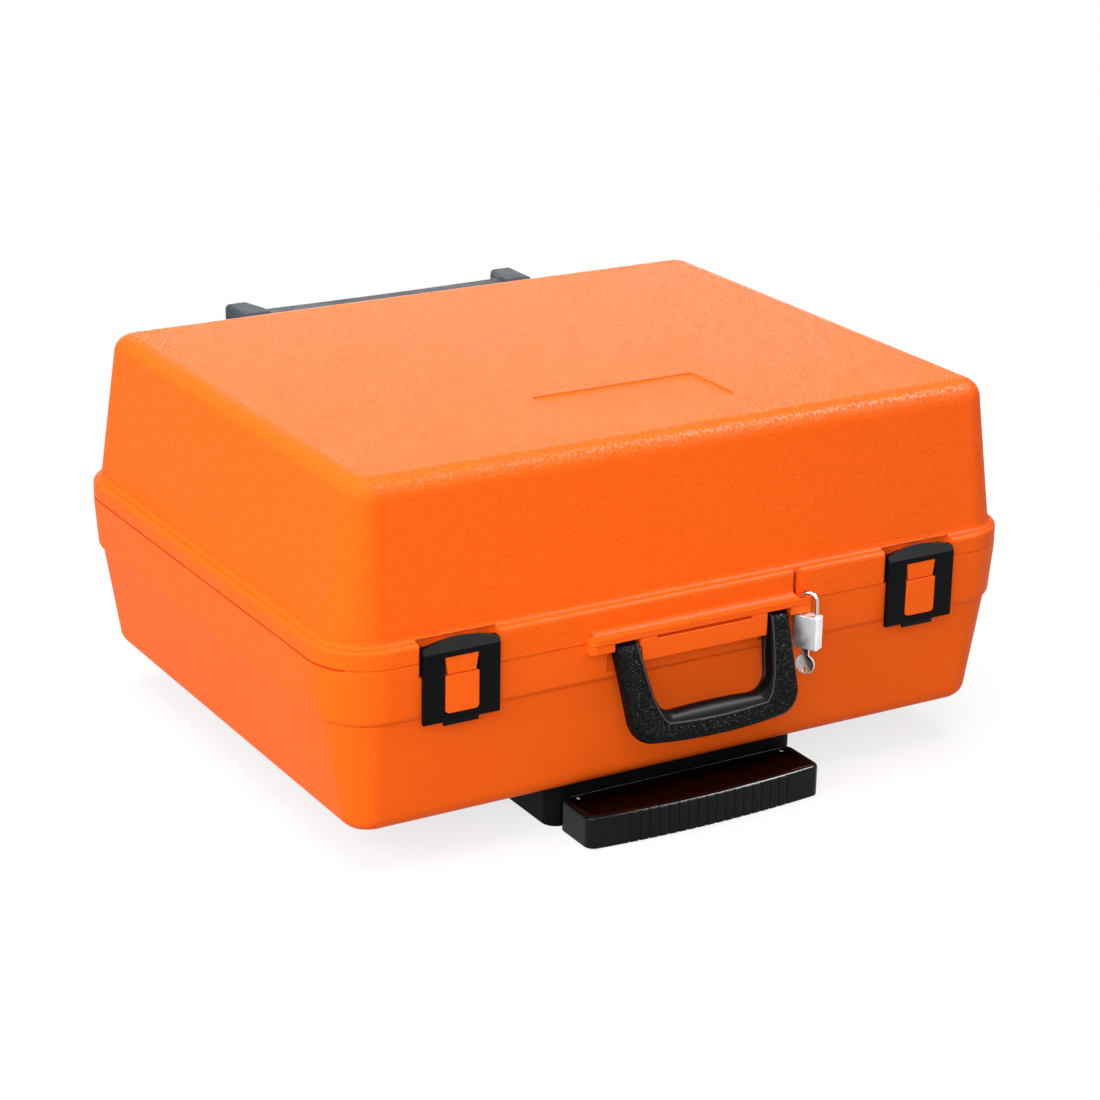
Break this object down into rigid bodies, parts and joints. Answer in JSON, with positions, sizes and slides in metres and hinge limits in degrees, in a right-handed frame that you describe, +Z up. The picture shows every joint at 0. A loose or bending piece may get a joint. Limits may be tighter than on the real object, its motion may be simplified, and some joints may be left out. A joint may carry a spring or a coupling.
{
  "type": "hard carrying case on a trolley",
  "caption": "Hard moulded carrying case with hinged lid, frame latches, carry handle and padlock, on a trolley with pull-out grip, wheels and fold-down toe plate.",
  "frame": {"origin": "on the floor, below the middle of the case's rim, at the underside of the trolley chassis", "axes": "+X along the front to the right as seen from the latches, +Y from the latches to the hinges, +Z up"},
  "size_m": [0.6, 0.5691, 0.2995],
  "materials": {
    "orange_shell": "injection-moulded orange plastic, leather grain on the lid, satin",
    "black_plastic": "smooth satin black moulding",
    "grained_black": "pebble-grained black moulding",
    "black_gloss": "polished black cover",
    "bright_steel": "bright drawn steel",
    "shackle_chrome": "polished plating",
    "padlock_satin": "satin silver on a cast body",
    "plug_brass": "turned brass",
    "tube_aluminium": "anodised tube",
    "charcoal_plastic": "charcoal moulding",
    "wheel_rubber": "moulded tread"
  },
  "bodies": {
    "base": {"base_shell": "orange_shell", "hinge_pins": "bright_steel", "handle_pins": "bright_steel", "padlock_shackle": "shackle_chrome", "chassis": "black_plastic", "chassis_screws": "bright_steel", "outer_tubes": "tube_aluminium", "outer_collars": "black_plastic", "axle": "bright_steel", "axle_caps": "black_plastic", "wheel_spacers": "black_plastic"},
    "lid": {"lid_shell": "orange_shell", "latch_pin_left": "bright_steel", "latch_pin_right": "bright_steel"},
    "latch_left": {"latch_frame_left": "black_plastic"},
    "latch_right": {"latch_frame_right": "black_plastic"},
    "carry_handle": {"carry_handle": "grained_black"},
    "padlock": {"padlock_body": "padlock_satin"},
    "key": {"padlock_plug": "plug_brass", "padlock_key": "bright_steel"},
    "tele_middle": {"middle_tubes": "tube_aluminium", "middle_collars": "black_plastic", "middle_stops": "black_plastic"},
    "tele_grip": {"inner_tubes": "tube_aluminium", "inner_stops": "black_plastic", "grip_body": "black_plastic", "grip_cover": "black_gloss", "grip_screws": "bright_steel"},
    "wheel_left": {"wheel_hub_left": "charcoal_plastic", "wheel_tyre_left": "wheel_rubber"},
    "wheel_right": {"wheel_hub_right": "charcoal_plastic", "wheel_tyre_right": "wheel_rubber"},
    "toe_plate": {"toe_plate": "charcoal_plastic"}
  },
  "joints": [
    {"name": "lid_hinge", "type": "hinge", "parent": "base", "child": "lid", "pos_m": [0, 0.2439, 0.1667], "axis": [-1, 0, 0], "range_deg": [0, 105]},
    {"name": "latch_left_hinge", "type": "hinge", "parent": "lid", "child": "latch_left", "pos_m": [-0.2025, -0.2363, 0.1768], "axis": [-1, 0, 0], "range_deg": [0, 90]},
    {"name": "latch_right_hinge", "type": "hinge", "parent": "lid", "child": "latch_right", "pos_m": [0.2025, -0.2363, 0.1768], "axis": [-1, 0, 0], "range_deg": [0, 90]},
    {"name": "handle_swing", "type": "hinge", "parent": "base", "child": "carry_handle", "pos_m": [0, -0.2435, 0.1455], "axis": [-1, 0, 0], "range_deg": [0, 66]},
    {"name": "padlock_pull", "type": "slide", "parent": "base", "child": "padlock", "axis": [0, 0, -1], "range_m": [0, 0.008]},
    {"name": "key_turn", "type": "hinge", "parent": "padlock", "child": "key", "pos_m": [0.09137, -0.24918, 0.13], "axis": [0, 0, 1], "range_deg": [0, 90]},
    {"name": "grip_pull", "type": "slide", "parent": "base", "child": "tele_grip", "axis": [0, -1, 0], "range_m": [0, 0.48]},
    {"name": "middle_pull", "type": "slide", "parent": "base", "child": "tele_middle", "axis": [0, -1, 0], "range_m": [0, 0.24]},
    {"name": "wheel_left_spin", "type": "hinge", "parent": "base", "child": "wheel_left", "pos_m": [-0.1245, 0.262, 0.031], "axis": [1, 0, 0], "continuous": true},
    {"name": "wheel_right_spin", "type": "hinge", "parent": "base", "child": "wheel_right", "pos_m": [0.1245, 0.262, 0.031], "axis": [1, 0, 0], "continuous": true},
    {"name": "toe_fold", "type": "hinge", "parent": "base", "child": "toe_plate", "pos_m": [0, 0.262, 0.031], "axis": [-1, 0, 0], "range_deg": [0, 88]}
  ],
  "couplings": [
    {"joint": "middle_pull", "follows": "grip_pull", "ratio": 0.5},
    {"joint": "toe_fold", "follows": "lid_hinge", "ratio": 0.838}
  ]
}
